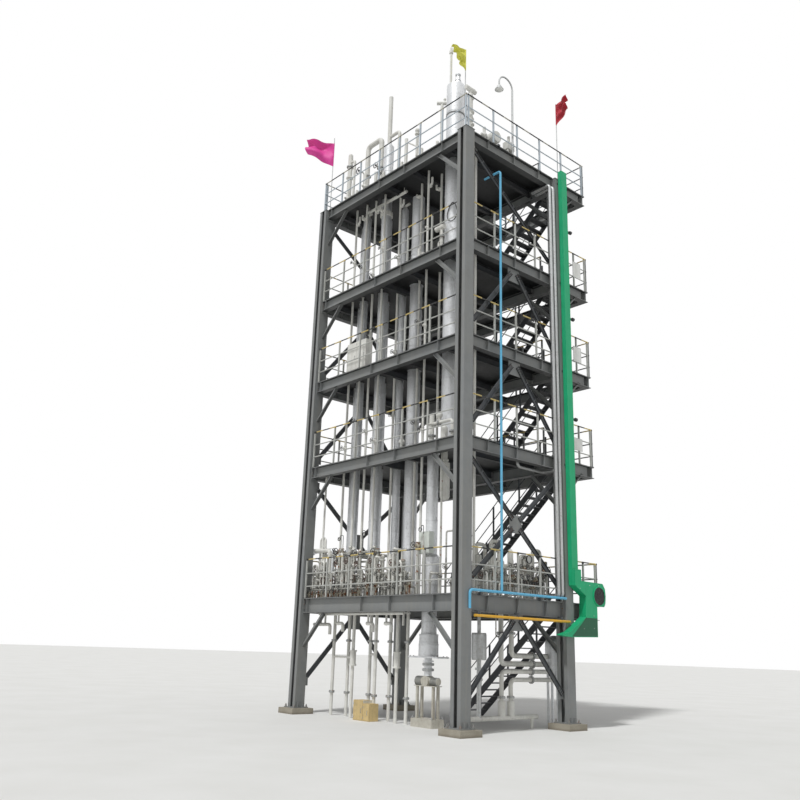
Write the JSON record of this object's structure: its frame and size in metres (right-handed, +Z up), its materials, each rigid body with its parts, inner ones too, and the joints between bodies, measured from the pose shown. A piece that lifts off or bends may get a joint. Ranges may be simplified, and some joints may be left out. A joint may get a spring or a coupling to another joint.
{
  "type": "distillation column",
  "caption": "Open steel tower with plated decks and a stair strip, holding clad distillation columns, pipes, valves and a green duct.",
  "frame": {"origin": "centre of the underside of the pedestal at the corner between the front face and the right face", "axes": "+X along the front face towards its right end, +Y from the front face to the stair strip behind, +Z up"},
  "size_m": [7.8672, 5.8056, 19.94],
  "materials": {
    "steel_grey": "satin grey paint",
    "steel_dark": "satin dark paint",
    "rail_grey": "satin grey paint, top rails banded",
    "cladding": "bright sheet cladding",
    "pipe_white": "satin white paint",
    "galvanised": "dull zinc",
    "concrete": "rough cast concrete",
    "duct_green": "green gloss",
    "water_blue": "light blue paint",
    "gas_yellow": "yellow paint",
    "wheel_red": "red paint, weathered",
    "pump_cream": "cream paint",
    "flag_magenta": "thin woven cloth",
    "flag_yellow": "thin woven cloth",
    "flag_red": "thin woven cloth"
  },
  "bodies": {
    "root": {"pedestals": "concrete", "columns": "steel_grey", "edge_beams": "steel_grey", "side_beams": "steel_grey", "joists": "steel_dark", "deck_plates": "steel_dark", "strip_plates": "steel_dark", "knee_braces": "steel_grey", "side_braces": "steel_grey", "gussets": "steel_grey", "front_rails": "rail_grey", "right_rails": "rail_grey", "left_rails": "rail_grey", "back_rails": "rail_grey", "well_rails": "steel_dark", "stair_stringers": "steel_dark", "stair_treads": "steel_dark", "stair_rails": "steel_dark", "main_column": "cladding", "second_column": "cladding", "slim_columns": "cladding", "deck_vessel": "cladding", "reboiler": "cladding", "column_heads": "cladding", "column_feet": "cladding", "thin_risers": "pipe_white", "reboiler_pump": "pump_cream", "roof_pipes": "cladding", "roof_plant": "cladding", "roof_vents": "cladding", "valve_sets": "galvanised", "side_valves": "galvanised", "corner_pipe": "cladding", "handwheels": "wheel_red", "deck_plant": "pipe_white", "hung_pipes": "pipe_white", "hung_vessel": "pipe_white", "ground_pipes": "pipe_white", "ground_header": "pipe_white", "ground_tank": "cladding", "ground_vessel": "galvanised", "cabinets": "pump_cream", "green_duct": "duct_green", "duct_mouth": "duct_green", "conduits": "galvanised", "water_pipe": "water_blue", "water_branch": "water_blue", "gas_pipe": "gas_yellow", "service_brackets": "steel_dark", "roof_lamp": "galvanised", "flag_poles": "galvanised", "magenta_flag": "flag_magenta", "yellow_flag": "flag_yellow", "red_flag": "flag_red"}
  },
  "joints": []
}
